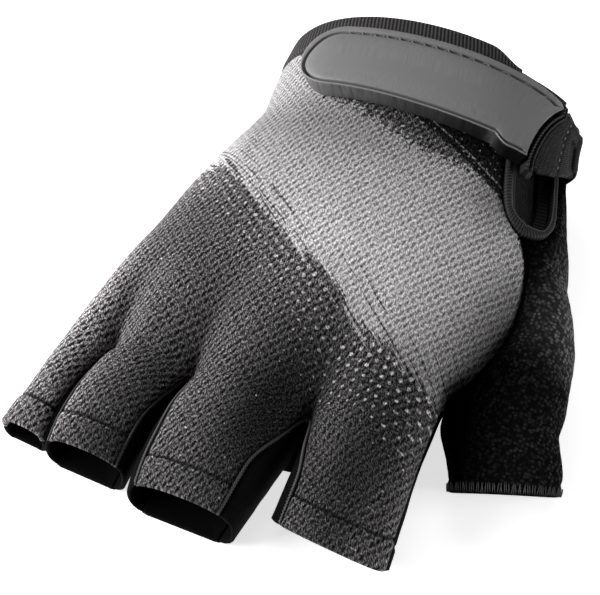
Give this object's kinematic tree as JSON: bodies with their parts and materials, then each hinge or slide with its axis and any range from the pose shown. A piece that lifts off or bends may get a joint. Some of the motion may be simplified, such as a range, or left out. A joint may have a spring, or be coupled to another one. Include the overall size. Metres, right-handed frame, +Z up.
{
  "type": "short-finger sports glove",
  "caption": "Right-hand short-finger sports glove with a mesh back, open finger ends, a soft thumb and a tabbed wrist strap over a slit.",
  "frame": {"origin": "under the middle of the glove's bounding box, on the surface that it lies on", "axes": "+Y from the finger ends to the wrist opening, +Z up through the back of the hand, +X towards the thumb"},
  "size_m": [0.138, 0.1488, 0.0524],
  "materials": {
    "mesh_knit": "printed polyester mesh, matt",
    "palm_suede": "synthetic suede, matt",
    "towelling": "short looped pile",
    "stretch_knit": "smooth stretch knit",
    "ribbed_elastic": "ribbed elastic band",
    "moulded_rubber": "satin moulded rubber",
    "hook_and_loop": "hook and loop fastener",
    "strap_knit": "firm knit"
  },
  "bodies": {
    "root": {"back_panel": "mesh_knit", "palm_panel": "palm_suede", "thumb_panel": "towelling", "gusset_pinky_ring": "stretch_knit", "gusset_ring_middle": "stretch_knit", "gusset_middle_index": "stretch_knit", "wrist_cuff": "ribbed_elastic", "slit_binding": "ribbed_elastic", "closure_tab": "moulded_rubber", "closure_patch": "hook_and_loop", "strap_base": "strap_knit", "strap_fold": "strap_knit", "strap_pleat": "strap_knit"}
  },
  "joints": []
}
